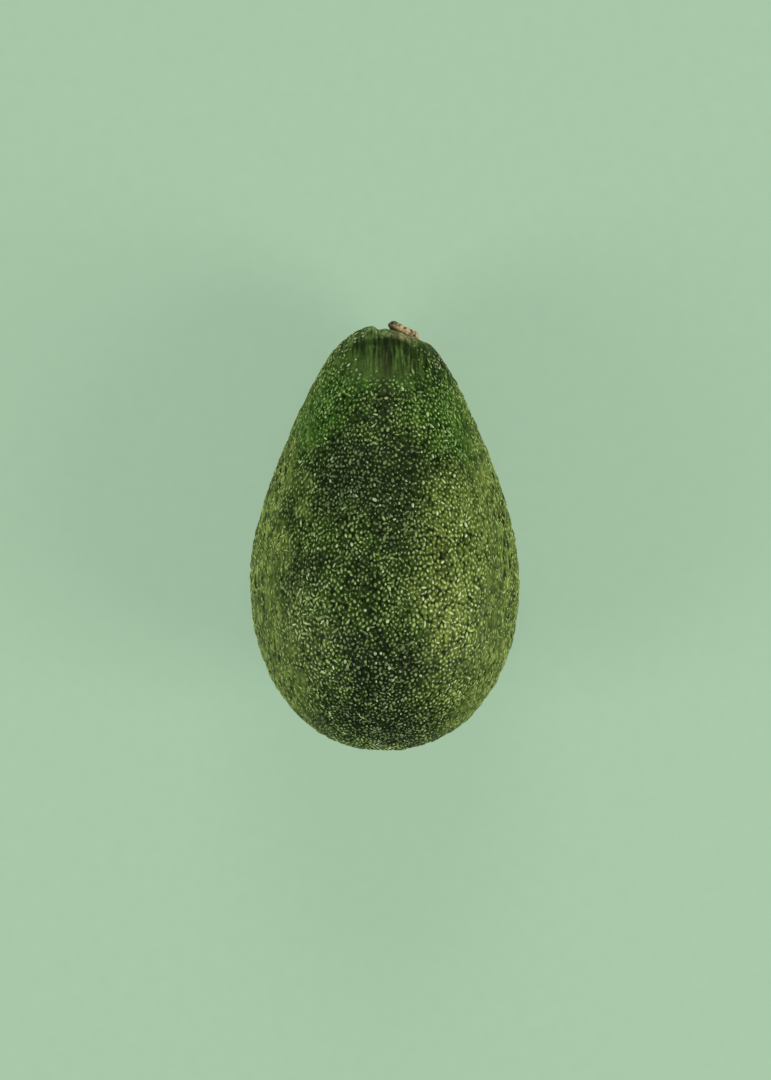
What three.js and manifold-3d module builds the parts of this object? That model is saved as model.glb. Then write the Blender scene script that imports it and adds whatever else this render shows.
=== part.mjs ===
// A whole avocado as picked, lying on its side with the dry button of its stem still on it.
// Millimetres, +Z up. The stem end points towards +Y, and the belly rests on z = 0 on a small flat spot.
// The fruit is first made along its own axis, with y = 0 at the widest point, and is then laid down.

import * as THREE from "three";
import { mergeVertices } from "three/addons/utils/BufferGeometryUtils.js";
import Module from "manifold-3d";

const wasm = await Module();
wasm.setup();

const fruit = {
  length: 107.5, // from the blossom end to the crest at the stem end
  width: 67.6, // across the belly
  bellyFromBlossom: 41.9, // from the blossom end to the widest point
  stemFullness: 2.3, // exponents of the outline, where 2 is an ellipse
  blossomFullness: 2.1,
  neckSlim: 0.26, // share by which the neck is slimmer than that outline
  neckReach: 0.9, // share of the stem half over which it slims
  meshSteps: 22, // cuts in each edge of the icosahedron that is stretched over the outline
  outlineSteps: 600,
};

// How the fruit comes to rest: the stem end hangs below the blossom end, as its centre of mass asks.
const rest = {
  tiltDegrees: 12,
  flatDepth: 0.6, // how much of the round belly the flat spot takes away
  flatReach: 0.12, // what lies nearer than this to the surface is pressed flat too
};

// The pebbled skin. Each pebble is one raised vertex with lower ones all round it.
const pebble = {
  height: 0.5,
  leastShare: 0.45, // the lowest pebble's share of that height
  baldReach: 11, // the skin is smooth this near the stem
  seed: 7,
};

// The dry stem button, its seat in the skin, and the skin's collar round it.
const stem = {
  offAxis: 5, // how far from the fruit's axis the stem grew
  leanDegrees: 9, // past square to the skin, away from that axis
  buttonRadius: 4.2,
  buttonTop: 0.3, // heights of its faces over the fruit's even outline
  buttonUnderside: -1.6,
  rootRadius: 2.7,
  rootDepth: 3.4,
  seatGap: 0.35,
  seatLip: 1.6, // how far above that outline the seat's cut reaches
  sides: 30,
  corkHeight: 0.22, // of the ridges and warts on its dry bark
  saucerDepth: 1.4, // the skin dips round the stem
  saucerInner: 4.8,
  saucerOuter: 8,
};

// The shallow hollow in the shoulder, on the upper side.
const hollow = { centre: [0, 56.5, 18], radii: [9, 6, 9], depth: 0.8 };

// The crease that runs from the stem over the shoulder and down the upper side.
const crease = { offAxis: -1.4, width: 1.5, depth: 0.95, reach: 17 };

// Shallow folds of skin that gather towards the stem.
const folds = { count: 11, height: 0.22, from: 6, reach: 20 };

const colours = { skin: 0x4a5f26, bark: 0x8a6242 };

const stemHalf = fruit.length - fruit.bellyFromBlossom;
const smooth = (x) => THREE.MathUtils.smoothstep(x, 0, 1);

// A seeded random draw from 0 to 1, the same on every run.
function seededDraw(seed) {
  let state = seed >>> 0;
  return () => {
    state = (state + 0x6d2b79f5) >>> 0;
    let t = Math.imul(state ^ (state >>> 15), 1 | state);
    t = (t + Math.imul(t ^ (t >>> 7), 61 | t)) ^ t;
    return ((t ^ (t >>> 14)) >>> 0) / 4294967296;
  };
}

// The fruit's radius at height y along its own axis.
function outlineRadius(y) {
  const half = y > 0 ? stemHalf : fruit.bellyFromBlossom;
  const u = Math.min(Math.abs(y) / half, 1);
  const fullness = y > 0 ? fruit.stemFullness : fruit.blossomFullness;
  const oval = (fruit.width / 2) * (1 - u ** fullness) ** (1 / fullness);
  return y > 0 ? oval * (1 - fruit.neckSlim * smooth(u / fruit.neckReach)) : oval;
}

// Heights along the axis, from stem to blossom end, with the share of the skin that lies above each.
function skinShares() {
  const rows = [];
  let area = 0;
  for (let i = 0; i <= fruit.outlineSteps; i++) {
    const middle = (stemHalf - fruit.bellyFromBlossom) / 2;
    const y = middle + (fruit.length / 2) * Math.cos((Math.PI * i) / fruit.outlineSteps);
    const radius = outlineRadius(y);
    if (i > 0) {
      const last = rows[i - 1];
      area += ((radius + last.radius) / 2) * Math.hypot(radius - last.radius, y - last.y);
    }
    rows.push({ y, radius, area });
  }
  return rows.map((row) => ({ y: row.y, share: row.area / area }));
}

// The height that has the given share of the skin above it.
function heightAtShare(rows, share) {
  let low = 0;
  let high = rows.length - 1;
  while (high - low > 1) {
    const middle = (low + high) >> 1;
    if (rows[middle].share > share) high = middle;
    else low = middle;
  }
  const a = rows[low];
  const b = rows[high];
  return a.y + ((b.y - a.y) * (share - a.share)) / (b.share - a.share);
}

// Where the stem grew, and which way it points, in the fruit's own frame.
function stemPlace() {
  let low = stemHalf / 2;
  let high = stemHalf;
  while (high - low > 1e-6) {
    const middle = (low + high) / 2;
    if (outlineRadius(middle) > stem.offAxis) low = middle;
    else high = middle;
  }
  const step = 0.01;
  const slope = (outlineRadius(low + step) - outlineRadius(low - step)) / (2 * step);
  return {
    point: new THREE.Vector3(stem.offAxis, low, 0),
    out: new THREE.Vector3(1, -slope, 0)
      .normalize()
      .applyAxisAngle(new THREE.Vector3(0, 0, 1), -THREE.MathUtils.degToRad(stem.leanDegrees)),
  };
}

// Stretches an even sphere over the outline, so that every part of the skin has its share of the mesh.
function smoothSkin() {
  const ball = new THREE.IcosahedronGeometry(1, fruit.meshSteps);
  ball.deleteAttribute("normal");
  ball.deleteAttribute("uv");
  const skin = mergeVertices(ball, 1e-5);
  const rows = skinShares();
  const place = skin.getAttribute("position");
  for (let i = 0; i < place.count; i++) {
    const d = new THREE.Vector3().fromBufferAttribute(place, i).normalize();
    const y = heightAtShare(rows, Math.min(Math.max((1 - d.y) / 2, 1e-7), 1 - 1e-7));
    const across = Math.hypot(d.x, d.z);
    const stretch = across > 1e-6 ? outlineRadius(y) / across : 0;
    place.setXYZ(i, d.x * stretch, y, d.z * stretch);
  }
  skin.computeVertexNormals();
  return skin;
}

// For each vertex, the vertices that share an edge with it.
function neighboursOf(skin) {
  const near = Array.from({ length: skin.getAttribute("position").count }, () => new Set());
  const index = skin.index.array;
  for (let i = 0; i < index.length; i += 3)
    for (let j = 0; j < 3; j++) {
      const a = index[i + j];
      const b = index[i + ((j + 1) % 3)];
      near[a].add(b);
      near[b].add(a);
    }
  return near;
}

// How high each vertex is raised: the tops are drawn at random so that no two of them are neighbours.
function pebbleHeights(skin) {
  const draw = seededDraw(pebble.seed);
  const near = neighboursOf(skin);
  const order = near.map((_, i) => ({ i, key: draw() })).sort((a, b) => a.key - b.key);
  const heights = new Float32Array(near.length);
  for (const { i } of order) {
    if ([...near[i]].some((j) => heights[j] > 0)) continue;
    heights[i] = pebble.height * (pebble.leastShare + (1 - pebble.leastShare) * draw());
  }
  return heights;
}

// Saucer, folds, crease and hollow near the stem: how far the skin stands out there.
function shoulderRise(p, place) {
  const away = p.distanceTo(place.point);
  const saucerShare = 1 - smooth((away - stem.saucerInner) / (stem.saucerOuter - stem.saucerInner));
  const dip = Math.hypot(...p.toArray().map((c, i) => (c - hollow.centre[i]) / hollow.radii[i]));
  const turn = Math.atan2(p.z - place.point.z, p.x - place.point.x);
  const foldShare = smooth((away - folds.from) / 4) * (1 - smooth((away - folds.from) / folds.reach));
  const fold = folds.height * foldShare * Math.cos(folds.count * turn);
  const down = Math.hypot(stemHalf - p.y, p.z);
  const creaseShare = 1 - smooth(down / crease.reach);
  const groove = Math.exp(-(((p.x - crease.offAxis) / crease.width) ** 2));
  const dips = stem.saucerDepth * saucerShare + hollow.depth * Math.exp(-(dip ** 2));
  return fold - dips - crease.depth * creaseShare * groove;
}

// Lays the fruit down: tilts it and lifts it until only the flat spot would lie below z = 0.
function layDown() {
  const tilt = THREE.MathUtils.degToRad(rest.tiltDegrees);
  let lowest = 0;
  for (const { y } of skinShares())
    lowest = Math.min(lowest, -y * Math.sin(tilt) - outlineRadius(y) * Math.cos(tilt));
  return new THREE.Matrix4()
    .makeTranslation(0, 0, -lowest - rest.flatDepth)
    .multiply(new THREE.Matrix4().makeRotationX(-tilt));
}

// The skin with its relief, laid down and pressed flat where it meets the surface.
function pebbledSkin(place, laid) {
  const skin = smoothSkin();
  const heights = pebbleHeights(skin);
  const position = skin.getAttribute("position");
  const normal = skin.getAttribute("normal");
  for (let i = 0; i < position.count; i++) {
    const p = new THREE.Vector3().fromBufferAttribute(position, i);
    const n = new THREE.Vector3().fromBufferAttribute(normal, i);
    const away = p.distanceTo(place.point);
    const rough = smooth((away - pebble.baldReach / 2) / pebble.baldReach);
    p.addScaledVector(n, heights[i] * rough + shoulderRise(p, place));
    p.applyMatrix4(laid);
    if (p.z < rest.flatReach) p.z = 0;
    position.setXYZ(i, p.x, p.y, p.z);
  }
  skin.deleteAttribute("normal");
  return skin;
}

// A closed mesh as a solid, and back.
function solidOf(geometry) {
  const bare = geometry.clone();
  bare.deleteAttribute("normal");
  bare.deleteAttribute("uv");
  const merged = mergeVertices(bare, 1e-4);
  return new wasm.Manifold(
    new wasm.Mesh({
      numProp: 3,
      vertProperties: merged.getAttribute("position").array,
      triVerts: new Uint32Array(merged.index.array),
    }),
  );
}

function geometryOf(solid) {
  const mesh = solid.getMesh();
  const geometry = new THREE.BufferGeometry();
  geometry.setAttribute("position", new THREE.BufferAttribute(mesh.vertProperties, 3));
  geometry.setIndex(new THREE.BufferAttribute(mesh.triVerts, 1));
  geometry.computeVertexNormals();
  return geometry;
}

// Turns a shape made round +Y from the origin so that it stands on the skin where the stem grew.
function standOnSkin(geometry, place, laid) {
  const turn = new THREE.Quaternion().setFromUnitVectors(new THREE.Vector3(0, 1, 0), place.out);
  return geometry
    .applyQuaternion(turn)
    .translate(place.point.x, place.point.y, place.point.z)
    .applyMatrix4(laid);
}

// The pit that the button's root sits in, a little larger than the root all round.
function seatCut(place, laid) {
  const { seatGap: gap, seatLip: lip, buttonRadius, buttonUnderside, rootRadius, rootDepth } = stem;
  const outline = [
    [0, -rootDepth - gap],
    [rootRadius + gap, -rootDepth - gap],
    [buttonRadius + gap, buttonUnderside + gap],
    [buttonRadius + 2 * gap, lip],
    [0, lip],
  ].map(([r, y]) => new THREE.Vector2(r, y));
  return standOnSkin(new THREE.LatheGeometry(outline, stem.sides), place, laid);
}

// The button: a root, a rounded rim, and a dished top with the broken stalk's scar in the middle.
function buttonOutline() {
  const { buttonRadius: r, buttonTop, buttonUnderside: low, rootRadius, rootDepth } = stem;
  const h = buttonTop - low;
  const corners = [
    [rootRadius, -rootDepth],
    [r * 0.9, low],
    [r, low + h * 0.3],
    [r * 0.97, low + h * 0.62],
    [r * 0.8, low + h * 0.92],
    [r * 0.58, buttonTop],
    [r * 0.4, low + h * 0.8],
    [r * 0.24, low + h * 0.95],
  ].map(([x, y]) => new THREE.Vector2(x, y));
  const steps = (corners.length - 1) * 3;
  return [
    new THREE.Vector2(0, -rootDepth),
    ...new THREE.SplineCurve(corners).getPoints(steps),
    new THREE.Vector2(0, low + h * 0.98),
  ];
}

// Dry bark: ridges that run up the rim and warts between them.
function barkRise(turn, y) {
  const ridges = 0.5 * Math.sin(7 * turn + 1.3) + 0.35 * Math.sin(13 * turn + 2.1 * y);
  const warts = 0.45 * Math.sin(9 * turn - 3.1 * y) * Math.sin(3.7 * y + 0.6);
  return stem.corkHeight * (ridges + warts);
}

function stemButton(place, laid) {
  const button = new THREE.LatheGeometry(buttonOutline(), stem.sides);
  const position = button.getAttribute("position");
  for (let i = 0; i < position.count; i++) {
    const p = new THREE.Vector3().fromBufferAttribute(position, i);
    const across = Math.hypot(p.x, p.z);
    if (across < 1e-6) continue;
    const turn = Math.atan2(p.z, p.x);
    const rough = smooth((p.y - stem.buttonUnderside + 0.4) / 1.2) * smooth(across / 1.5);
    const share = 1 + (barkRise(turn, p.y) * rough) / across;
    position.setXYZ(i, p.x * share, p.y + 0.5 * barkRise(2 * turn, across) * rough, p.z * share);
  }
  return standOnSkin(button, place, laid);
}

function namedMesh(name, geometry, colour, roughness) {
  const material = new THREE.MeshStandardMaterial({ color: colour, roughness, metalness: 0 });
  const mesh = new THREE.Mesh(geometry, material);
  mesh.name = name;
  return mesh;
}

const laid = layDown();
const place = stemPlace();
const skinSolid = solidOf(pebbledSkin(place, laid)).subtract(solidOf(seatCut(place, laid)));

const avocado = new THREE.Group();
avocado.add(namedMesh("avocado_fruit", geometryOf(skinSolid), colours.skin, 0.45));
avocado.add(namedMesh("stem_button", stemButton(place, laid), colours.bark, 0.9));

// The part's origin is under the middle of its box, on the surface that it rests on.
const middle = new THREE.Box3().setFromObject(avocado, true).getCenter(new THREE.Vector3());
for (const mesh of avocado.children) mesh.position.set(-middle.x, -middle.y, 0);

export default avocado;
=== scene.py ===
import math

import bmesh
import bpy
import numpy as np
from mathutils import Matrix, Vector, noise
from mathutils.bvhtree import BVHTree
from mathutils.kdtree import KDTree


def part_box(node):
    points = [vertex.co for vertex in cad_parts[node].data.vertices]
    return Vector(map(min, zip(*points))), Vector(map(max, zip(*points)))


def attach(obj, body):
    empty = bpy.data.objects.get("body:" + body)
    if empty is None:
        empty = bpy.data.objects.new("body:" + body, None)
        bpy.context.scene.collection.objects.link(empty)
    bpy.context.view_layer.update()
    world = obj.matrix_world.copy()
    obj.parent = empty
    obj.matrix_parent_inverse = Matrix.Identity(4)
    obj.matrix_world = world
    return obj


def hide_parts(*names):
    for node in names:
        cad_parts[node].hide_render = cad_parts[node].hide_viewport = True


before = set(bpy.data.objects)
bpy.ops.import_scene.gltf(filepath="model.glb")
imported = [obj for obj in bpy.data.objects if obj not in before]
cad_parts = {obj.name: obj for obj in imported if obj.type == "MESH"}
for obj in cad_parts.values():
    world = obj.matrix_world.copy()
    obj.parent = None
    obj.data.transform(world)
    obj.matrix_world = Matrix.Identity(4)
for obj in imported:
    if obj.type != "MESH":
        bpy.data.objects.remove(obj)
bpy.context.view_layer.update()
mm = 0.001
tiny = 1e-9  # keeps a division off zero

# The fruit in its own frame: +Y runs to the stem end, and y = 0 is at the widest point of the belly.
fruit = {
    "length": 107.5 * mm,
    "width": 67.6 * mm,
    "bellyFromBlossom": 41.9 * mm,
    "stemFullness": 2.3,  # exponents of the outline, where 2 is an ellipse
    "blossomFullness": 2.1,
    "neckSlim": 0.26,
    "neckReach": 0.9,
    "tilt": math.radians(12.0),  # the stem end hangs lower
    "flatDepth": 0.6 * mm,
    "outlineSteps": 600,
    "subdivisions": 6,  # of the icosphere under the skin, and then cuts of each edge
    "cuts": 2,
    "swell": 0.35 * mm,  # slow lumps that no two fruits share
    "swellLength": 30 * mm,
}
stemHalf = fruit["length"] - fruit["bellyFromBlossom"]

# How random points are spread: reach and step are shares of the room that each has.
spreading = {"neighbours": 7, "reach": 1.2, "step": 0.35}

# Rounded pebbles with narrow valleys between them.
pebbles = {
    "spacing": 2.0 * mm,
    "height": 0.46 * mm,
    "leastHeight": 0.3,  # share of that height
    "stretch": 2.1,  # they are longer along the fruit
    "packing": 0.9,  # room for each, as a share of spacing squared times stretch
    "shoulder": 0.8,  # shares of the spacing over which a pebble rises and a valley is seen
    "valley": 0.3,
    "roundness": 2.2,
    "spreadRounds": 2,
    "baldFrom": 7 * mm,  # the skin is smooth this near the stem
    "baldTo": 21 * mm,
    "seed": 11,
}

# The stem and the skin round it.
stem = {
    "offAxis": 5 * mm,
    "radius": 4.2 * mm,
    "lean": math.radians(9),  # past square to the skin, away from the fruit's axis
    "top": 0.25 * mm,  # heights of its faces over the fruit's even outline
    "underside": -1.6 * mm,
    "rootRadius": 2.7 * mm,
    "rootDepth": 3.4 * mm,
    "pitDepth": 2.4 * mm,
    "pitInner": 3.2 * mm,
    "pitOuter": 4.5 * mm,
    "saucerDepth": 1.4 * mm,  # the skin dips round the stem
    "saucerInner": 4.8 * mm,
    "saucerOuter": 8 * mm,
    "fineReach": 9 * mm,  # the mesh is finer this near the stem
}
crease = {"offAxis": -1.4 * mm, "width": 1.2 * mm, "depth": 1.1 * mm, "reach": 14 * mm}
folds = {
    "count": 11,
    "height": 0.2 * mm,
    "start": 6 * mm,
    "fullFrom": 10 * mm,
    "end": 26 * mm,
    "wander": 2,  # makes the folds uneven round the stem
}
hollow = {"centre": (0, 56.5 * mm, 18 * mm), "radii": (9 * mm, 6 * mm, 9 * mm), "depth": 0.9 * mm}
flowerScar = {
    "place": (1.5 * mm, -fruit["bellyFromBlossom"], -1 * mm),
    "radius": 2 * mm,
    "depth": 0.5 * mm,
}


def smoothStep(x):
    x = np.clip(x, 0, 1)
    return x * x * (3 - 2 * x)


# 0 up to low, 1 from high on, and smooth between them.
def fade(values, low, high):
    return smoothStep((values - low) / (high - low))


def distances(points, place):
    return np.linalg.norm(points - np.array(place), axis=1)


def noiseAt(points, size):
    return np.array([noise.noise(Vector(p)) for p in points / size])


def outlineRadius(y):
    half = np.where(y > 0, stemHalf, fruit["bellyFromBlossom"])
    u = np.minimum(np.abs(y) / half, 1)
    fullness = np.where(y > 0, fruit["stemFullness"], fruit["blossomFullness"])
    oval = fruit["width"] / 2 * (1 - u**fullness) ** (1 / fullness)
    slim = fruit["neckSlim"] * smoothStep(u / fruit["neckReach"])
    return np.where(y > 0, oval * (1 - slim), oval)


def outlineTable():
    middle = (stemHalf - fruit["bellyFromBlossom"]) / 2
    y = middle + fruit["length"] / 2 * np.cos(np.linspace(0, math.pi, fruit["outlineSteps"]))
    radius = outlineRadius(y)
    strips = (radius[1:] + radius[:-1]) / 2 * np.hypot(np.diff(radius), np.diff(y))
    share = np.concatenate([[0], np.cumsum(strips)])
    return y, radius, share / share[-1], 2 * math.pi * share[-1]


outlineHeights, outlineRadii, skinShares, skinArea = outlineTable()


# Points of a unit sphere go to the outline, and every part of the skin gets its share of them.
def stretchToFruit(directions):
    y = np.interp((1 - directions[:, 1]) / 2, skinShares, outlineHeights)
    across = np.hypot(directions[:, 0], directions[:, 2])
    stretch = outlineRadius(y) / np.maximum(across, tiny)
    return np.column_stack([directions[:, 0] * stretch, y, directions[:, 2] * stretch])


def treeOf(points):
    tree = KDTree(len(points))
    for i, point in enumerate(points):
        tree.insert(point, i)
    tree.balance()
    return tree


# Random points of a unit sphere, each pushed away from its nearest ones until all are evenly far apart.
def evenDirections(count, rounds, seed):
    directions = np.random.default_rng(seed).normal(size=(count, 3))
    directions /= np.linalg.norm(directions, axis=1)[:, None]
    room = math.sqrt(4 * math.pi / count)
    for _ in range(rounds):
        tree = treeOf(directions)
        found = [tree.find_n(p, spreading["neighbours"])[1:] for p in directions]
        near = np.array([[f[0] for f in group] for group in found])
        away = directions[:, None] - near
        far = np.linalg.norm(away, axis=2)[:, :, None]
        push = away / far * np.clip(1 - far / (room * spreading["reach"]), 0, 1)
        directions += push.sum(1) * room * spreading["step"]
        directions /= np.linalg.norm(directions, axis=1)[:, None]
    return directions


# Where the stem grew, and straight out of the skin there.
def stemPlace():
    upper = outlineHeights > stemHalf / 2
    y = np.interp(stem["offAxis"], outlineRadii[upper], outlineHeights[upper])
    step = 0.01 * mm
    slope = (outlineRadius(y + step) - outlineRadius(y - step)) / (2 * step)
    turn = math.atan2(1, -float(slope)) + stem["lean"]
    return np.array([stem["offAxis"], float(y), 0]), np.array([math.sin(turn), math.cos(turn), 0])


stemPoint, stemOut = stemPlace()


# From the fruit's own frame to how it lies.
def turnDown(points):
    c, s = math.cos(fruit["tilt"]), math.sin(fruit["tilt"])
    return points @ np.array([[1, 0, 0], [0, c, -s], [0, s, c]])


def restHeight():
    c, s = math.cos(fruit["tilt"]), math.sin(fruit["tilt"])
    return -np.min(-outlineHeights * s - outlineRadii * c) - fruit["flatDepth"]


# How high the pebbles stand at each point, and 1 where a valley is.
def pebbleDomes(points):
    random = np.random.default_rng(pebbles["seed"])
    squeeze = np.array([1, 1 / pebbles["stretch"], 1])
    count = round(skinArea / (pebbles["spacing"] ** 2 * pebbles["stretch"] * pebbles["packing"]))
    centres = stretchToFruit(evenDirections(count, pebbles["spreadRounds"], pebbles["seed"])) * squeeze
    heights = pebbles["leastHeight"] + (1 - pebbles["leastHeight"]) * random.random(count)
    tree = treeOf(centres)
    found = [tree.find_n(p, 2) for p in points * squeeze]
    nearest = np.array([f[0][1] for f in found])
    inside = np.array([f[1][2] - f[0][2] for f in found]) / pebbles["spacing"]
    dome = 1 - (1 - np.clip(inside / pebbles["shoulder"], 0, 1)) ** pebbles["roundness"]
    return dome * heights[nearest], 1 - smoothStep(inside / pebbles["valley"])


# Saucer, folds, crease, hollow and pit near the stem, and the flower scar at the other end.
def endRise(points):
    away = distances(points, stemPoint)
    saucer = stem["saucerDepth"] * (1 - fade(away, stem["saucerInner"], stem["saucerOuter"]))
    turn = np.arctan2(points[:, 2] - stemPoint[2], points[:, 0] - stemPoint[0])
    foldShare = fade(away, folds["start"], folds["fullFrom"]) * (1 - fade(away, folds["start"], folds["end"]))
    wave = np.cos(folds["count"] * turn + folds["wander"] * np.sin(2 * turn))
    fold = folds["height"] * foldShare * wave
    down = np.hypot(stemHalf - points[:, 1], points[:, 2])
    groove = np.exp(-(((points[:, 0] - crease["offAxis"]) / crease["width"]) ** 2))
    creased = crease["depth"] * (1 - smoothStep(down / crease["reach"])) * groove
    dent = np.linalg.norm((points - np.array(hollow["centre"])) / np.array(hollow["radii"]), axis=1)
    dented = hollow["depth"] * np.exp(-(dent**2))
    pit = stem["pitDepth"] * (1 - fade(away, stem["pitInner"], stem["pitOuter"]))
    fromFlower = distances(points, flowerScar["place"])
    scar = flowerScar["depth"] * np.exp(-((fromFlower / flowerScar["radius"]) ** 2))
    return fold - saucer - creased - dented - pit - scar


# The sides of the fruit, by share of its half width. They end where the half width is small.
flank = {
    "from": 0.58,
    "to": 0.94,
    "ragged": 0.16,
    "raggedSize": 7 * mm,
    "endFrom": 6 * mm,
    "endTo": 30 * mm,
}

# Lenticels: pale corky dots, some drawn out into dashes, each a low cone sunk into the skin.
dots = {
    "count": 14500,
    "sides": 6,
    "radius": 0.3 * mm,  # of the cone's sunk base
    "radiusSpread": 0.32,
    "radiusLimits": (0.4, 1.6),
    "length": (1.0, 1.9),  # shares of the width, along the fruit
    "spin": 0.45,  # radians, the usual turn away from the fruit's length
    "dashShare": 0.12,
    "dashLength": 2.8,
    "dashWidth": 0.9,
    "dashSpin": 0.9,
    "wormShare": 0.4,  # more of them are dashes in the middle of these spots
    "wormSpots": [(17 * mm, -9 * mm, 28 * mm), (-16 * mm, -9 * mm, 29 * mm)],
    "wormReach": 15 * mm,
    "height": 0.13 * mm,
    "sink": 0.07 * mm,
    "spreadRounds": 5,
    "stretch": 1.2,  # the gaps between them are longer along the fruit
    "gapFrom": 0.2 * mm,  # distances from a dot's middle
    "gapTo": 0.66 * mm,
    "gapDepth": 0.1 * mm,
    "openTo": 1.11 * mm,  # wider gaps show the green skin again
    "openShare": 0.65,
    "stemReach": (7 * mm, 13 * mm),  # none grow this near the stem, and all do from the second distance on
    "baldSpot": (0, 59 * mm, 11 * mm),  # the smooth hollow under the crest
    "spotReach": (5.5 * mm, 17 * mm),
    "scarReach": (1.5 * mm, 3.5 * mm),
    "flankShare": 0.5,  # fewer dots grow on the fruit's sides, and those are narrower and longer
    "flankSize": 0.75,
    "flankLength": 1.8,
    "floorGap": 0.5 * mm,
    "seed": 5,
}


# 0 on the smooth skin near the stem and in the flower's scar, and 1 elsewhere.
def roughShare(points):
    share = fade(distances(points, stemPoint), *dots["stemReach"])
    share *= fade(distances(points, dots["baldSpot"]), *dots["spotReach"])
    return share * fade(distances(points, flowerScar["place"]), *dots["scarReach"])


# 1 on the fruit's two sides and 0 along its back.
def flankShare(points):
    radius = outlineRadius(points[:, 1])
    across = np.abs(points[:, 0]) / np.maximum(radius, mm)
    across += flank["ragged"] * noiseAt(points, flank["raggedSize"])
    return fade(radius, flank["endFrom"], flank["endTo"]) * fade(across, flank["from"], flank["to"])


def dottedShare(points):
    return roughShare(points) * (1 - (1 - dots["flankShare"]) * flankShare(points))


def dashShare(points):
    away = np.min([distances(points, spot) for spot in dots["wormSpots"]], axis=0)
    return dots["dashShare"] + dots["wormShare"] * (1 - smoothStep(away / dots["wormReach"]))


def placeDots():
    smooth = stretchToFruit(evenDirections(dots["count"], dots["spreadRounds"], dots["seed"]))
    return smooth[np.random.default_rng(dots["seed"]).random(dots["count"]) < dottedShare(smooth)]


dotPlaces = placeDots()


# 0 at the dots, 1 in the dark skin between them.
def dotGaps(points):
    squeeze = np.array([1, 1 / dots["stretch"], 1])
    tree = treeOf(dotPlaces * squeeze)
    away = np.array([tree.find(p)[2] for p in points * squeeze])
    wide = fade(away, dots["gapTo"], dots["openTo"])
    gap = fade(away, dots["gapFrom"], dots["gapTo"]) * (1 - dots["openShare"] * wide)
    return gap * dottedShare(points)


def addValues(mesh, name, values):
    layer = mesh.attributes.new(name, "FLOAT", "POINT")
    layer.data.foreach_set("value", np.asarray(values, np.float32))


def newPiece(name, bm, material=None):
    mesh = bpy.data.meshes.new(name)
    bm.to_mesh(mesh)
    bm.free()
    mesh.shade_smooth()
    if material:
        mesh.materials.append(material)
    piece = bpy.data.objects.new(name, mesh)
    bpy.context.scene.collection.objects.link(piece)
    return piece


def readPoints(mesh):
    values = np.empty(len(mesh.vertices) * 3, np.float32)
    mesh.vertices.foreach_get("co", values)
    return values.reshape(-1, 3).astype(float)


def readNormals(mesh):
    values = np.empty(len(mesh.vertices) * 3, np.float32)
    mesh.vertex_normals.foreach_get("vector", values)
    return values.reshape(-1, 3).astype(float)


def writePoints(mesh, points):
    mesh.vertices.foreach_set("co", points.astype(np.float32).ravel())
    mesh.update()


def boxCentre(low, high):
    return (np.array(low) + np.array(high)) / 2


# A fine icosphere stretched over the outline, and finer still near the stem.
def smoothSkin():
    bm = bmesh.new()
    bmesh.ops.create_icosphere(bm, subdivisions=fruit["subdivisions"], radius=1)
    bmesh.ops.subdivide_edges(bm, edges=bm.edges[:], cuts=fruit["cuts"], use_grid_fill=True)
    piece = newPiece("avocado_skin", bm)
    mesh = piece.data
    directions = readPoints(mesh)
    directions /= np.linalg.norm(directions, axis=1)[:, None]
    writePoints(mesh, stretchToFruit(directions))

    bm = bmesh.new()
    bm.from_mesh(mesh)
    near = [e for e in bm.edges if (e.verts[0].co - Vector(stemPoint)).length < stem["fineReach"]]
    bmesh.ops.subdivide_edges(bm, edges=near, cuts=1)
    bmesh.ops.triangulate(bm, faces=[f for f in bm.faces if len(f.verts) > 3])
    bm.to_mesh(mesh)
    bm.free()
    return piece


# The skin is raised into pebbles and laid down on its flat spot.
def makeSkin():
    piece = smoothSkin()
    mesh = piece.data
    points, normals = readPoints(mesh), readNormals(mesh)
    domes, valleys = pebbleDomes(points)
    away = distances(points, stemPoint)
    rough = fade(away, pebbles["baldFrom"], pebbles["baldTo"]) * roughShare(points)
    gaps = dotGaps(points)
    rise = domes * pebbles["height"] * rough - gaps * dots["gapDepth"]
    rise += fruit["swell"] * noiseAt(points, fruit["swellLength"]) + endRise(points)
    addValues(mesh, "valley", valleys * rough)
    addValues(mesh, "gap", gaps)
    addValues(mesh, "dotted", dottedShare(points))
    addValues(mesh, "flank", flankShare(points))
    addValues(mesh, "stemDistance", away)
    laid = turnDown(points + normals * rise[:, None])
    laid[:, 2] = np.maximum(laid[:, 2] + restHeight(), 0)
    shift = boxCentre(*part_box("avocado_fruit")) - boxCentre(laid.min(0), laid.max(0))
    shift[2] = 0
    writePoints(mesh, laid + shift)
    return piece, shift + np.array([0, 0, restHeight()])


# Cones one above the other, doubled until there are enough, and numbered by their height.
def stackCones(count, apart):
    bm = bmesh.new()
    bmesh.ops.create_cone(
        bm, cap_ends=True, cap_tris=True, segments=dots["sides"], radius1=1, radius2=0, depth=2,
    )
    copies = 1
    while copies < count:
        made = bmesh.ops.duplicate(bm, geom=bm.verts[:] + bm.edges[:] + bm.faces[:])["geom"]
        corners = [g for g in made if isinstance(g, bmesh.types.BMVert)]
        bmesh.ops.translate(bm, verts=corners, vec=(0, 0, copies * apart))
        copies *= 2
    surplus = [v for v in bm.verts if v.co.z > (count - 0.5) * apart]
    bmesh.ops.delete(bm, geom=surplus, context="VERTS")
    return bm


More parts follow.
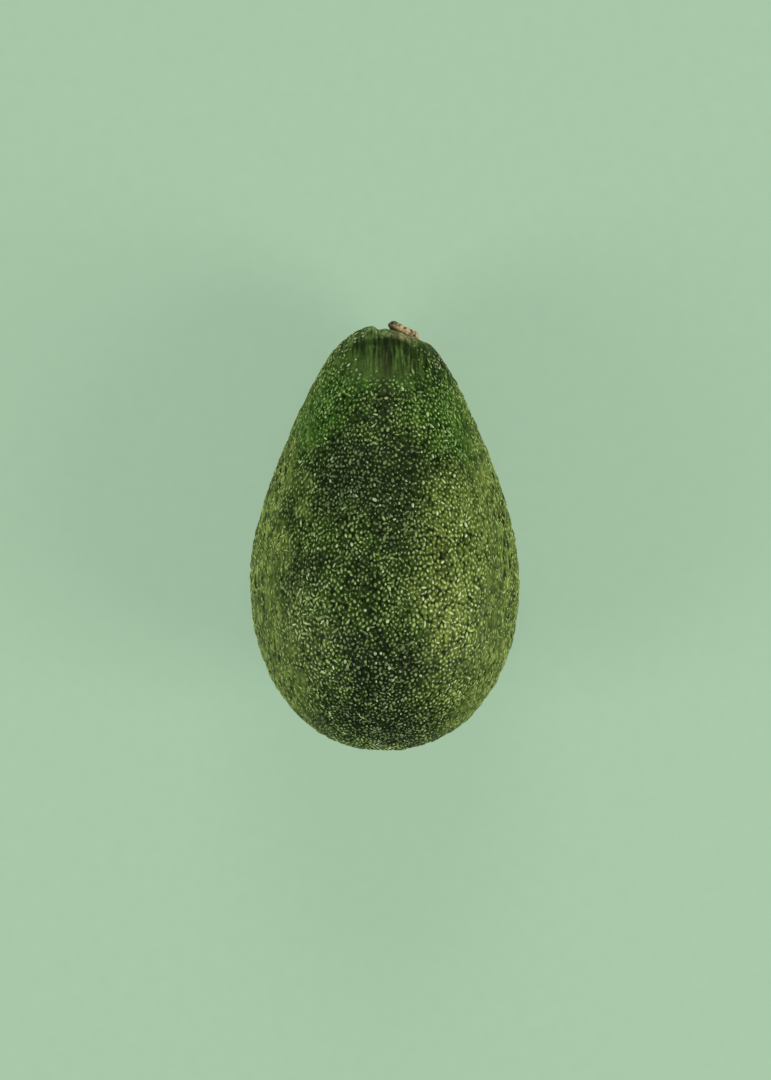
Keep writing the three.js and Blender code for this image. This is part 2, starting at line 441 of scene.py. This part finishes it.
# A cone is taken from the stack for each dot, sized, turned square to the skin and sunk in.
def makeDots(skin, fruitPlace, material):
    random = np.random.default_rng(dots["seed"])
    places = turnDown(dotPlaces) + fruitPlace
    keep = places[:, 2] > dots["floorGap"]
    mesh = skin.data
    tree = BVHTree.FromPolygons([v.co for v in mesh.vertices], [p.vertices for p in mesh.polygons])
    found = [tree.find_nearest(p) for p in places[keep]]
    centres = np.array([f[0] for f in found])
    out = np.array([f[1] for f in found])
    count = len(centres)

    along = turnDown(np.array([[0, 1.0, 0]]))[0]
    across = np.cross(out, along)
    across /= np.linalg.norm(across, axis=1)[:, None]
    along = np.cross(across, out)
    isDash = random.random(count) < dashShare(dotPlaces[keep])
    spin = random.normal(0, np.where(isDash, dots["dashSpin"], dots["spin"]))[:, None]
    first = along * np.cos(spin) + across * np.sin(spin)
    frames = np.stack([first, np.cross(out, first), out], axis=1)

    onFlank = flankShare(dotPlaces[keep])
    radius = dots["radius"] * np.clip(random.normal(1, dots["radiusSpread"], count), *dots["radiusLimits"])
    radius *= (1 - onFlank + onFlank * dots["flankSize"]) * np.where(isDash, dots["dashWidth"], 1)
    length = np.where(isDash, dots["dashLength"], random.uniform(*dots["length"], count))
    length *= 1 - onFlank + onFlank * dots["flankLength"]
    low, high = -dots["sink"], dots["height"]
    sizes = np.column_stack([radius * length, radius, np.full(count, (high - low) / 2)])

    apart = 4  # twice the height of a cone
    piece = newPiece("lenticels", stackCones(count, apart), material)
    corners = readPoints(piece.data)
    number = np.rint(corners[:, 2] / apart).astype(int)
    corners[:, 2] -= number * apart
    turned = np.einsum("ij,ijk->ik", corners * sizes[number], frames[number])
    writePoints(piece.data, turned + (centres + out * (low + high) / 2)[number])
    addValues(piece.data, "tone", random.random(count)[number])
    addValues(piece.data, "flank", onFlank[number])
    return piece


# Stem button: a spun profile, finely cut and roughened into dry cork.
button = {
    "steps": 72,
    "cuts": 2,
    "merge": 0.01 * mm,
    "neck": 1.5,  # the root starts this many times as deep as the underside
    "corkHeight": 0.3 * mm,
    "corkSize": 1.5 * mm,
    "corkFractal": (0.9, 2.1, 5),  # fall of height, step of size, and number of layers
    "pitHeight": 0.35 * mm,
    "pitSpacing": 1.5 * mm,
    "pitSize": 0.42,  # share of the spacing
    # painted shade in the low places of the cork
    "lowCorkShade": 0.5,  # how much darker the low places of the cork are
    "smoothDepth": 0.6 * mm,  # the cork is smooth at its underside
    "rim": [  # radius and height as shares, from the underside over the rim to the scar of the stalk
        (0.9, 0.0), (0.98, 0.12), (1.0, 0.35), (0.985, 0.6), (0.93, 0.82), (0.82, 0.96), (0.68, 1.0),
        (0.55, 0.93), (0.42, 0.8), (0.3, 0.86), (0.18, 0.95), (0.0, 0.96),
    ],
}


def buttonProfile():
    root, depth, underside = stem["rootRadius"], -stem["rootDepth"], stem["underside"]
    thickness = stem["top"] - underside
    face = [(stem["radius"] * r, underside + thickness * h) for r, h in button["rim"]]
    return [(0, depth), (root, depth), (root, underside * button["neck"])] + face


def makeButton(fruitPlace, material):
    bm = bmesh.new()
    ring = [bm.verts.new((r, y, 0)) for r, y in buttonProfile()]
    edges = [bm.edges.new(pair) for pair in zip(ring, ring[1:])]
    bmesh.ops.subdivide_edges(bm, edges=edges, cuts=button["cuts"])
    bmesh.ops.spin(
        bm, geom=bm.verts[:] + bm.edges[:], cent=(0, 0, 0), axis=(0, 1, 0), dvec=(0, 0, 0),
        angle=2 * math.pi, steps=button["steps"], use_merge=True,
    )
    bmesh.ops.remove_doubles(bm, verts=bm.verts[:], dist=button["merge"])
    bmesh.ops.recalc_face_normals(bm, faces=bm.faces[:])
    piece = newPiece("stem_button_bark", bm, material)
    mesh = piece.data
    points, normals = readPoints(mesh), readNormals(mesh)
    cork = np.array([noise.fractal(Vector(p / button["corkSize"]), *button["corkFractal"]) for p in points])
    nearest = np.array([noise.voronoi(Vector(p / button["pitSpacing"]))[0][0] for p in points])
    pits = 1 - smoothStep(nearest / button["pitSize"])
    shown = smoothStep((points[:, 1] - stem["underside"]) / button["smoothDepth"])
    rise = (button["corkHeight"] * cork - button["pitHeight"] * pits) * shown
    # The pit value is painted shade in the cork's pits and low places.
    addValues(mesh, "pit", np.clip(pits * shown - button["lowCorkShade"] * cork, 0, 1))
    points = points + normals * rise[:, None]
    turn = Vector((0, 1, 0)).rotation_difference(Vector(stemOut)).to_matrix()
    points = points @ np.array(turn).T + stemPoint
    writePoints(mesh, turnDown(points) + fruitPlace)
    return piece


# A screen's colour, 0 to 255, as the linear one that Blender takes.
def fromSrgb(red, green, blue):
    linear = []
    for value in (red, green, blue):
        share = value / 255
        linear.append(share / 12.92 if value <= 10 else ((share + 0.055) / 1.055) ** 2.4)
    return (*linear, 1)


def addNode(tree, kind, inputs=None, **settings):
    made = tree.nodes.new(kind)
    for name, value in settings.items():
        setattr(made, name, value)
    for name, value in (inputs or {}).items():
        if isinstance(value, bpy.types.NodeSocket):
            tree.links.new(value, made.inputs[name])
        else:
            made.inputs[name].default_value = value
    return made


def compute(tree, operation, a, b=0.0, clamp=False):
    return addNode(tree, "ShaderNodeMath", {0: a, 1: b}, operation=operation, use_clamp=clamp).outputs[0]


def multiply(tree, a, b):
    return compute(tree, "MULTIPLY", a, b)


def combine(tree, operation, a, b):
    return addNode(tree, "ShaderNodeVectorMath", {0: a, 1: b}, operation=operation).outputs[0]


# The dictionaries give a ramp's numbers in this order.
def ramp(tree, value, start, end, low=0.0, high=1.0):
    inputs = {"Value": value, "From Min": start, "From Max": end, "To Min": low, "To Max": high}
    return addNode(tree, "ShaderNodeMapRange", inputs, interpolation_type="SMOOTHSTEP").outputs[0]


def mixColours(tree, factor, a, b, blend="MIX"):
    inputs = {0: factor, 6: a, 7: b}
    return addNode(tree, "ShaderNodeMix", inputs, data_type="RGBA", blend_type=blend).outputs[2]


def readValue(tree, name):
    return addNode(tree, "ShaderNodeAttribute", attribute_name=name).outputs["Fac"]


def addNoise(tree, point, scale, **inputs):
    return addNode(tree, "ShaderNodeTexNoise", {"Vector": point, "Scale": scale, **inputs}).outputs


def startGroup(name, inputs, outputs):
    group = bpy.data.node_groups.new(name, "ShaderNodeTree")
    for label, kind, value in inputs:
        socket = group.interface.new_socket(label, in_out="INPUT", socket_type=kind)
        socket.default_value = value
    for label, kind in outputs:
        group.interface.new_socket(label, in_out="OUTPUT", socket_type=kind)
    return group, addNode(group, "NodeGroupInput").outputs, addNode(group, "NodeGroupOutput").inputs


def useGroup(tree, group, inputs):
    return addNode(tree, "ShaderNodeGroup", inputs, node_tree=group).outputs


# The patterns' own shapes, the same wherever they are used.
patterns = {
    "patchEdge": (1.15, 0.35),  # shares of a patch's radius where it starts and is full
    "cloud": {"Detail": 5.0, "Roughness": 0.6, "Distortion": 0.4},
    "speckChance": (0.1, 0.9, 0.5, 1.2),  # chances, and the shares of the radius that they give
    "speckCore": 0.55,
    "fineGrain": {"Detail": 3.0, "Roughness": 0.6},
    "crackSpacing": 0.45,
    "crackWidth": 0.16,
}


# A soft-edged patch of skin round a point, with a ragged border.
def makePatchGroup():
    group, given, result = startGroup("patch", [
        ("Point", "NodeSocketVector", (0, 0, 0)),
        ("Centre", "NodeSocketVector", (0, 0, 0)),
        ("Radii", "NodeSocketVector", (10, 10, 10)),
        ("Border", "NodeSocketFloat", 0.0),
    ], [("Mask", "NodeSocketFloat")])
    offset = combine(group, "SUBTRACT", given["Point"], given["Centre"])
    share = combine(group, "DIVIDE", offset, given["Radii"])
    length = addNode(group, "ShaderNodeVectorMath", {0: share}, operation="LENGTH").outputs["Value"]
    edge = compute(group, "ADD", length, given["Border"])
    group.links.new(ramp(group, edge, *patterns["patchEdge"]), result["Mask"])
    return group


# Cloudy blotches of a given size, drawn out along an axis whose share in Shrink is small.
def makeBlotchGroup():
    group, given, result = startGroup("blotches", [
        ("Point", "NodeSocketVector", (0, 0, 0)),
        ("Size", "NodeSocketFloat", 10.0),
        ("Cover", "NodeSocketFloat", 0.5),
        ("Softness", "NodeSocketFloat", 0.12),
        ("Shrink", "NodeSocketVector", (1, 1, 1)),
    ], [("Mask", "NodeSocketFloat")])
    scale = compute(group, "DIVIDE", 1.0, given["Size"])
    point = combine(group, "MULTIPLY", given["Point"], given["Shrink"])
    cloud = addNoise(group, point, scale, **patterns["cloud"])["Fac"]
    edge = compute(group, "SUBTRACT", 1.0, given["Cover"])
    low = compute(group, "SUBTRACT", edge, given["Softness"])
    high = compute(group, "ADD", edge, given["Softness"])
    group.links.new(ramp(group, cloud, low, high), result["Mask"])
    return group


# Specks of uneven size, some run together into short worms.
def makeSpeckGroup():
    group, given, result = startGroup("specks", [
        ("Point", "NodeSocketVector", (0, 0, 0)),
        ("Spacing", "NodeSocketFloat", 1.0),
        ("Radius", "NodeSocketFloat", 0.35),
        ("Warp", "NodeSocketFloat", 0.3),
    ], [("Mask", "NodeSocketFloat")])
    scale = compute(group, "DIVIDE", 1.0, given["Spacing"])
    drift = addNoise(group, given["Point"], scale, Detail=1.0)["Color"]
    centred = combine(group, "SUBTRACT", drift, (0.5, 0.5, 0.5))
    inputs = {0: centred, "Scale": given["Warp"]}
    pushed = addNode(group, "ShaderNodeVectorMath", inputs, operation="SCALE").outputs[0]
    moved = combine(group, "ADD", given["Point"], pushed)
    cells = addNode(group, "ShaderNodeTexVoronoi", {"Vector": moved, "Scale": scale}).outputs
    chance = addNode(group, "ShaderNodeSeparateColor", {0: cells["Color"]}).outputs[0]
    size = multiply(group, given["Radius"], ramp(group, chance, *patterns["speckChance"]))
    inner = multiply(group, size, patterns["speckCore"])
    group.links.new(ramp(group, cells["Distance"], size, inner), result["Mask"])
    return group


# Dry, fine-grained roughness for a surface's bump.
def makeGrainGroup():
    group, given, result = startGroup("grain", [
        ("Point", "NodeSocketVector", (0, 0, 0)),
        ("Size", "NodeSocketFloat", 0.5),
        ("Cracks", "NodeSocketFloat", 0.3),
    ], [("Height", "NodeSocketFloat")])
    scale = compute(group, "DIVIDE", 1.0, given["Size"])
    fine = addNoise(group, given["Point"], scale, **patterns["fineGrain"])["Fac"]
    inputs = {"Vector": given["Point"], "Scale": multiply(group, scale, patterns["crackSpacing"])}
    cells = addNode(group, "ShaderNodeTexVoronoi", inputs, feature="DISTANCE_TO_EDGE").outputs["Distance"]
    crack = multiply(group, ramp(group, cells, patterns["crackWidth"], 0.0), given["Cracks"])
    group.links.new(compute(group, "SUBTRACT", fine, crack), result["Height"])
    return group


patchGroup = makePatchGroup()
blotchGroup = makeBlotchGroup()
speckGroup = makeSpeckGroup()
grainGroup = makeGrainGroup()


def newMaterial(name, sockets):
    material = bpy.data.materials.new(name)
    material.use_nodes = True
    tree = material.node_tree
    shader = tree.nodes["Principled BSDF"]
    for label, value in sockets.items():
        shader.inputs[label].default_value = value
    return material, tree, shader.inputs


# Object coordinates turned back into the fruit's own frame, in millimetres.
def fruitPoint(tree, fruitPlace):
    place = addNode(tree, "ShaderNodeTexCoord").outputs["Object"]
    turn = (-fruit["tilt"], 0, 0)
    inputs = {"Vector": place, "Location": fruitPlace, "Rotation": turn, "Scale": (mm, mm, mm)}
    return addNode(tree, "ShaderNodeMapping", inputs, vector_type="TEXTURE").outputs[0]


# Each tone of the skin, with the tone of the dots on it. Some stand for light: painted highlights, painted
# side light, a painted reflection and painted shade.
skinTones = {
    "deep": (fromSrgb(34, 50, 14), fromSrgb(126, 142, 90)),
    "middle": (fromSrgb(58, 86, 27), fromSrgb(140, 158, 92)),
    "fresh": (fromSrgb(70, 114, 34), fromSrgb(134, 164, 92)),
    # lighter olive of the sides: partly the skin's own olive, partly painted side light
    "oliveAndSideLight": (fromSrgb(138, 156, 78), fromSrgb(152, 168, 100)),
    "hollow": (fromSrgb(88, 114, 54), fromSrgb(150, 168, 110)),
    "brown": (fromSrgb(52, 46, 22), fromSrgb(120, 116, 80)),
    "scar": (fromSrgb(110, 88, 56), fromSrgb(150, 130, 92)),
    "russet": (fromSrgb(188, 166, 132), fromSrgb(196, 176, 142)),
    # painted highlight of the soft boxes, on the skin and on its dots
    "paintedHighlight": (fromSrgb(128, 148, 64), fromSrgb(178, 190, 128)),
    # dark skin, also used as painted shade in the fruit's middle, under the crest and in the pits of the
    # sides
    "darkAndShade": (fromSrgb(16, 26, 9), fromSrgb(104, 122, 80)),
    # painted reflection of the stem-side light along the crest's rim
    "crestReflection": (fromSrgb(160, 184, 110), fromSrgb(170, 184, 124)),
}

# Patches of skin: centre and radii in millimetres in the fruit's frame, tone, strength, raggedness. Some are
# painted highlights, a painted reflection and painted shade.
skinPatches = [
    # painted highlights where the soft boxes shine on the right and left sides
    ((17, 8, 26), (14, 26, 16), "paintedHighlight", 0.7, 0.5),
    ((17, -8, 28), (11, 14, 14), "paintedHighlight", 0.85, 0.5),
    ((-20, -14, 22), (10, 14, 14), "paintedHighlight", 0.45, 0.5),
    ((-15, 42, 14), (12, 16, 14), "fresh", 0.75, 0.5),
    ((15, 42, 14), (12, 16, 14), "fresh", 0.75, 0.5),
    ((-5, 50, 19), (3.2, 3, 6), "fresh", 1.0, 0.2),
    ((5, 50, 19), (3.2, 3, 6), "fresh", 1.0, 0.2),
    # dark patches down the middle: partly the skin's own dark blotches, partly painted shade
    ((-10, 29, 27), (13, 13, 12), "darkAndShade", 0.85, 0.5),
    ((3, 22, 32), (9, 22, 12), "darkAndShade", 0.6, 0.5),
    ((-1, -22, 27), (11, 18, 14), "darkAndShade", 0.95, 0.5),
    ((0, -34, 20), (17, 10, 16), "darkAndShade", 0.9, 0.5),
    ((0, 56, 15), (14, 9, 12), "hollow", 0.85, 0.5),
    ((0, 56, 15), (2.2, 8, 12), "brown", 0.6, 0.5),
    ([v / mm for v in flowerScar["place"]], (3.6, 3.6, 3.6), "scar", 0.95, 0.3),
    # painted highlight low on the right
    ((16, -26, 22), (10, 12, 12), "paintedHighlight", 0.4, 0.5),
    # painted reflection along the crest's rim
    ((0, 64, 3), (16, 6, 9), "crestReflection", 0.8, 0.3),
    # painted shade in the recess under the crest
    ((0, 60.8, 11), (9, 1.5, 2.6), "darkAndShade", 0.7, 0.4),
    ((4, 62.4, 8.8), (5.5, 1.7, 1.8), "russet", 0.8, 0.3),
]
ripeningAndLight = {
    "clouds": {"Size": 9.0, "Cover": 0.5, "Softness": 0.14},  # of the middle tone in the deep one
    "borderScale": 0.22,  # the noise that makes the patches' borders ragged
    "borderDetail": 4.0,
    "flankBorder": 0.4,
    # how strongly the sides take the olive tone with its painted side light
    "sideLightStrength": 0.85,
}


# The colours of the ripening skin with painted light and shade, for the skin and for the dots on it.
def makeRipeningAndLightGroup():
    group, given, result = startGroup("ripeningAndLight", [
        ("Point", "NodeSocketVector", (0, 0, 0)),
        ("Flank", "NodeSocketFloat", 0.0),
    ], [("Skin", "NodeSocketColor"), ("Dots", "NodeSocketColor"), ("Clouds", "NodeSocketFloat")])
    clouds = useGroup(group, blotchGroup, {"Point": given["Point"], **ripeningAndLight["clouds"]})["Mask"]
    colours = [mixColours(group, clouds, *pair) for pair in zip(skinTones["deep"], skinTones["middle"])]
    cloud = addNoise(group, given["Point"], ripeningAndLight["borderScale"], Detail=ripeningAndLight["borderDetail"])["Fac"]
    border = ramp(group, cloud, 0, 1, -1, 1)
    # The sides turn olive: partly the skin's own tone, partly painted side light.
    side = compute(group, "ADD", given["Flank"], multiply(group, border, ripeningAndLight["flankBorder"]))
    side = ramp(group, side, 0, 1, 0, ripeningAndLight["sideLightStrength"])
    colours = [mixColours(group, side, *pair) for pair in zip(colours, skinTones["oliveAndSideLight"])]
    # Patches of tone, among them painted highlights, a painted reflection and painted shade.
    for centre, radii, tone, strength, ragged in skinPatches:
        shift = multiply(group, border, ragged)
        inputs = {"Point": given["Point"], "Centre": centre, "Radii": radii, "Border": shift}
        share = multiply(group, useGroup(group, patchGroup, inputs)["Mask"], strength)
        colours = [mixColours(group, share, *pair) for pair in zip(colours, skinTones[tone])]
    group.links.new(colours[0], result["Skin"])
    group.links.new(colours[1], result["Dots"])
    group.links.new(clouds, result["Clouds"])
    return group


ripeningAndLightGroup = makeRipeningAndLightGroup()

# Patterns are in millimetres. Where a strength has two values, the second is that of the sides.
skinLook = {
    "specular": 0.06,
    "freckles": {"Size": 2.2, "Cover": 0.5, "Softness": 0.1},
    "freckleStrength": 0.35,
    "streaks": {"Size": 1.2, "Cover": 0.5, "Softness": 0.08, "Shrink": (1, 0.16, 0.3)},
    "streakStrength": (0.3, 0.65),
    "streakReach": (20 * mm, 15 * mm),  # distances from the stem
    "threads": {"Size": 0.55, "Cover": 0.5, "Softness": 0.08, "Shrink": (1, 0.12, 0.5)},
    "threadStrength": (0.2, 0.6),
    # painted shade in the fine creases of the hollow
    "creaseShade": {"Size": 0.9, "Cover": 0.5, "Softness": 0.04, "Shrink": (1, 0.07, 0.07)},
    "lineStrength": 0.75,  # in the hollow, between these distances from the stem
    "lineFar": (25 * mm, 16 * mm),
    "lineNear": (9 * mm, 12 * mm),
    # painted shade in the pits between the pebbles on the sides
    "pits": {"Spacing": 1.3, "Radius": 0.46, "Warp": 0.6},
    "pitShrink": (1, 0.4, 1),
    "pitFlank": (0.4, 1, 0, 0.9),  # by share of the flank
    # the skin between the dots is dark, deepened with painted shade round each dot's foot; the pebbles'
    # valleys get painted shade
    "gapShadeStrength": (0.8, 0.25),
    "darkSkinAndShade": fromSrgb(8, 15, 2),
    "valleyShadeStrength": 0.45,
    "specks": {"Spacing": 1.05, "Radius": 0.36, "Warp": 0.5},
    "speckStrength": 0.5,
    "speckColour": fromSrgb(120, 136, 76),
    "ringReach": (8.5 * mm, 6 * mm),  # the russet ring round the stem
    "ringFreckles": (0.5, 1),  # it is weaker between the freckles
    "ringStrength": 0.8,
    "roughness": (0.45, 0.55),  # of the deep and the middle tone
    "speckRoughness": 0.2,
    "grain": {"Size": 0.55, "Cracks": 0.5},
    "grainHeight": 0.5,
    "bump": {"Distance": 0.12 * mm, "Strength": 0.8},
}


def skinMaterial(fruitPlace):
    look, deep = skinLook, skinTones["deep"][0]
    material, tree, surface = newMaterial("pebbled skin", {"Specular IOR Level": look["specular"]})
    point = fruitPoint(tree, fruitPlace)
    side = readValue(tree, "flank")
    away = readValue(tree, "stemDistance")
    ripeAndLit = useGroup(tree, ripeningAndLightGroup, {"Point": point, "Flank": side})
    freckles = useGroup(tree, blotchGroup, {"Point": point, **look["freckles"]})["Mask"]
    colour = mixColours(tree, multiply(tree, freckles, look["freckleStrength"]), ripeAndLit["Skin"], deep)

    drawnOut = compute(tree, "MAXIMUM", side, ramp(tree, away, *look["streakReach"]))
    for name, strength in [("streaks", "streakStrength"), ("threads", "threadStrength")]:
        mask = useGroup(tree, blotchGroup, {"Point": point, **look[name]})["Mask"]
        share = multiply(tree, mask, ramp(tree, drawnOut, 0, 1, *look[strength]))
        colour = mixColours(tree, share, colour, deep)
    # Painted shade in the fine creases of the hollow near the stem.
    creaseShade = useGroup(tree, blotchGroup, {"Point": point, **look["creaseShade"]})["Mask"]
    creaseShadeShare = ramp(tree, away, *look["lineFar"], 0, look["lineStrength"])
    creaseShadeShare = multiply(tree, creaseShadeShare, ramp(tree, away, *look["lineNear"]))
    colour = mixColours(tree, multiply(tree, creaseShade, creaseShadeShare), colour, look["darkSkinAndShade"])
    # Painted shade in the pits between the pebbles, on the sides only.
    shrunk = combine(tree, "MULTIPLY", point, look["pitShrink"])
    pits = useGroup(tree, speckGroup, {"Point": shrunk, **look["pits"]})["Mask"]
    flankPitShade = multiply(tree, pits, ramp(tree, side, *look["pitFlank"]))
    colour = mixColours(tree, flankPitShade, colour, skinTones["darkAndShade"][0])

    # The dark skin round the dots, deepened with painted shade, and painted shade in the pebbles' valleys.
    gap = readValue(tree, "gap")
    gapShadeMix = multiply(tree, gap, ramp(tree, side, 0, 1, *look["gapShadeStrength"]))
    valleyShade = multiply(tree, readValue(tree, "valley"), look["valleyShadeStrength"])
    colour = mixColours(tree, compute(tree, "ADD", gapShadeMix, valleyShade, True), colour, look["darkSkinAndShade"])
    specks = useGroup(tree, speckGroup, {"Point": point, **look["specks"]})["Mask"]
    specks = multiply(tree, specks, multiply(tree, readValue(tree, "dotted"), look["speckStrength"]))
    colour = mixColours(tree, specks, colour, look["speckColour"])
    ringPatches = ramp(tree, freckles, 0, 1, *look["ringFreckles"])
    ring = multiply(tree, ramp(tree, away, *look["ringReach"]), ringPatches)
    colour = mixColours(tree, multiply(tree, ring, look["ringStrength"]), colour, skinTones["russet"][0])
    tree.links.new(colour, surface["Base Color"])

    dull = ramp(tree, ripeAndLit["Clouds"], 0, 1, *look["roughness"])
    dull = compute(tree, "ADD", dull, multiply(tree, specks, look["speckRoughness"]))
    tree.links.new(dull, surface["Roughness"])
    grain = useGroup(tree, grainGroup, {"Point": point, **look["grain"]})["Height"]
    relief = compute(tree, "SUBTRACT", specks, gap)
    height = compute(tree, "ADD", multiply(tree, grain, look["grainHeight"]), relief)
    bump = addNode(tree, "ShaderNodeBump", {"Height": height, **look["bump"]})
    tree.links.new(bump.outputs[0], surface["Normal"])
    return material


# A dot's tone is random: the duller ones are mixed with the skin, the palest with cork.
dotLook = {
    "specular": 0.3,
    "toneFall": 1.5,  # over 1, so that more of them are dull
    "flankTone": 0.3,  # share of their tone that is left on the sides
    "skinShare": (0.7, 0.35),  # in the dullest, on the deep and on the middle tone
    "corkTone": (0.75, 1, 0, 0.3),
    "corkColour": fromSrgb(226, 230, 200),
    "roughness": (0.42, 0.6),
}


def dotMaterial(fruitPlace):
    look = dotLook
    material, tree, surface = newMaterial("pale lenticels", {"Specular IOR Level": look["specular"]})
    point = fruitPoint(tree, fruitPlace)
    side = readValue(tree, "flank")
    # The dots share the skin's painted highlights and painted side light.
    ripeAndLit = useGroup(tree, ripeningAndLightGroup, {"Point": point, "Flank": side})
    tone = compute(tree, "POWER", readValue(tree, "tone"), look["toneFall"])
    tone = multiply(tree, tone, ramp(tree, side, 0, 1, 1, look["flankTone"]))
    skinShare = ramp(tree, ripeAndLit["Clouds"], 0, 1, *look["skinShare"])
    dim = mixColours(tree, skinShare, ripeAndLit["Dots"], ripeAndLit["Skin"])
    colour = mixColours(tree, ramp(tree, tone, 0, 1), dim, ripeAndLit["Dots"])
    colour = mixColours(tree, ramp(tree, tone, *look["corkTone"]), colour, look["corkColour"])
    tree.links.new(colour, surface["Base Color"])
    tree.links.new(ramp(tree, tone, 0, 1, *look["roughness"]), surface["Roughness"])
    return material


barkLook = {
    "tones": (fromSrgb(82, 62, 42), fromSrgb(180, 156, 118)),
    "clouds": {"Size": 1.6, "Cover": 0.55, "Softness": 0.12},
    "darkSide": {"Centre": (0.8, 66, 0), "Radii": (3, 4, 5)},  # millimetres in the fruit's frame
    "darkStrength": 0.75,
    # painted shade in the cork's pits and low places; the same dark brown is used for the button's dark side
    "pitShadeAndDarkSide": fromSrgb(26, 16, 6),  # also that of the dark side
    "pitEdge": (0.1, 0.55),
    "roughness": (0.95, 0.8),  # of the dark and the pale tone
    "grain": {"Size": 0.5, "Cracks": 0.8},
    "bump": {"Distance": 0.15 * mm, "Strength": 0.9},
}


def barkMaterial(fruitPlace):
    look = barkLook
    material, tree, surface = newMaterial("dry cork", {})
    point = fruitPoint(tree, fruitPlace)
    clouds = useGroup(tree, blotchGroup, {"Point": point, **look["clouds"]})["Mask"]
    colour = mixColours(tree, clouds, *look["tones"])
    darkSide = useGroup(tree, patchGroup, {"Point": point, **look["darkSide"]})["Mask"]
    colour = mixColours(tree, multiply(tree, darkSide, look["darkStrength"]), colour, look["pitShadeAndDarkSide"])
    # Painted shade in the pits and low places of the cork.
    pit = ramp(tree, readValue(tree, "pit"), *look["pitEdge"])
    colour = mixColours(tree, pit, colour, look["pitShadeAndDarkSide"])
    tree.links.new(colour, surface["Base Color"])
    tree.links.new(ramp(tree, clouds, 0, 1, *look["roughness"]), surface["Roughness"])
    grain = useGroup(tree, grainGroup, {"Point": point, **look["grain"]})["Height"]
    bump = addNode(tree, "ShaderNodeBump", {"Height": grain, **look["bump"]})
    tree.links.new(bump.outputs[0], surface["Normal"])
    return material


def dress(piece, node):
    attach(piece, "root")
    if node:
        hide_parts(node)


# The studio: a sage paper floor, soft light, and the camera square to the fruit's axis.
studio = {
    "floorSize": 4.0,
    "paper": fromSrgb(84, 103, 88),
    "paperRoughness": 0.9,
    "paperGlow": fromSrgb(165, 195, 166),
    "glow": 0.66,  # the paper is lit from below too, so the shadow is faint
    "mottle": 0.06,  # the paper's fine grain of tone
    "mottleScale": 260.0,
    "mottleDetail": 4.0,
    "ambient": 0.42,
    "ambientColour": fromSrgb(206, 228, 206),
}
softBoxes = {  # direction from the fruit, then distance, width and height in metres, watts, colour
    "rightBox": ((0.84, -0.26, 0.47), 0.9, 0.4, 0.6, 10.0, (1.0, 0.98, 0.88)),
    "leftBox": ((-0.84, -0.26, 0.47), 0.9, 0.4, 0.6, 7.5, (1.0, 1.0, 0.95)),
    "stemBox": ((0.0, 0.85, 0.53), 1.1, 0.5, 0.35, 6.0, (1.0, 1.0, 0.96)),
}
photo = {  # in pixels: the picture, and where the fruit lies in it
    "width": 771,
    "height": 1080,
    "fruitMiddleX": 385.0,
    "crestY": 325.0,
    "blossomY": 749.5,
    "distance": 0.9,  # metres, straight out from the fruit's axis
    "sensor": 36,  # millimetres
}


def makeFloor():
    material, tree, surface = newMaterial("sage paper", {
        "Roughness": studio["paperRoughness"],
        "Emission Strength": studio["glow"],
    })
    place = addNode(tree, "ShaderNodeTexCoord").outputs["Object"]
    cloud = addNoise(tree, place, studio["mottleScale"], Detail=studio["mottleDetail"])["Fac"]
    for label, tone in [("Base Color", "paper"), ("Emission Color", "paperGlow")]:
        tree.links.new(mixColours(tree, studio["mottle"], studio[tone], cloud, "MULTIPLY"), surface[label])
    bm = bmesh.new()
    bmesh.ops.create_grid(bm, x_segments=1, y_segments=1, size=studio["floorSize"] / 2)
    floor = newPiece("floor", bm, material)


def makeSoftBoxes(target):
    for name, (direction, distance, width, height, power, colour) in softBoxes.items():
        light = bpy.data.lights.new(name, "AREA")
        light.shape = "RECTANGLE"
        light.size, light.size_y = width, height
        light.energy = power
        light.color = colour
        box = bpy.data.objects.new(name, light)
        out = Vector(direction).normalized()
        box.location = target + out * distance
        box.rotation_euler = out.to_track_quat("Z", "Y").to_euler()
        bpy.context.scene.collection.objects.link(box)


def makeWorld():
    world = bpy.data.worlds.new("studio air")
    world.use_nodes = True
    background = world.node_tree.nodes["Background"].inputs
    background["Color"].default_value = studio["ambientColour"]
    background["Strength"].default_value = studio["ambient"]
    bpy.context.scene.world = world
    bpy.context.scene.view_settings.view_transform = "Standard"


def makeCamera(fruitPlace):
    perPixel = fruit["length"] / (photo["blossomY"] - photo["crestY"])
    aimX = (photo["width"] / 2 - photo["fruitMiddleX"]) * perPixel
    middleY = (photo["crestY"] + photo["blossomY"]) / 2
    aimY = (stemHalf - fruit["bellyFromBlossom"]) / 2 - (photo["height"] / 2 - middleY) * perPixel
    data = bpy.data.cameras.new("camera")
    data.sensor_width = photo["sensor"]
    data.lens = data.sensor_width * photo["distance"] / (photo["height"] * perPixel)
    camera = bpy.data.objects.new("camera", data)
    camera.location = turnDown(np.array([[aimX, aimY, photo["distance"]]]))[0] + fruitPlace
    camera.rotation_euler = (-fruit["tilt"], 0, 0)
    bpy.context.scene.collection.objects.link(camera)
    bpy.context.scene.camera = camera


print("skin")
skin, fruitPlace = makeSkin()
skin.data.materials.append(skinMaterial(fruitPlace))
dress(skin, "avocado_fruit")
print("lenticels")
dress(makeDots(skin, fruitPlace, dotMaterial(fruitPlace)), None)
print("stem button")
dress(makeButton(fruitPlace, barkMaterial(fruitPlace)), "stem_button")
print("studio")
makeFloor()
makeSoftBoxes(Vector(fruitPlace))
makeWorld()
makeCamera(fruitPlace)
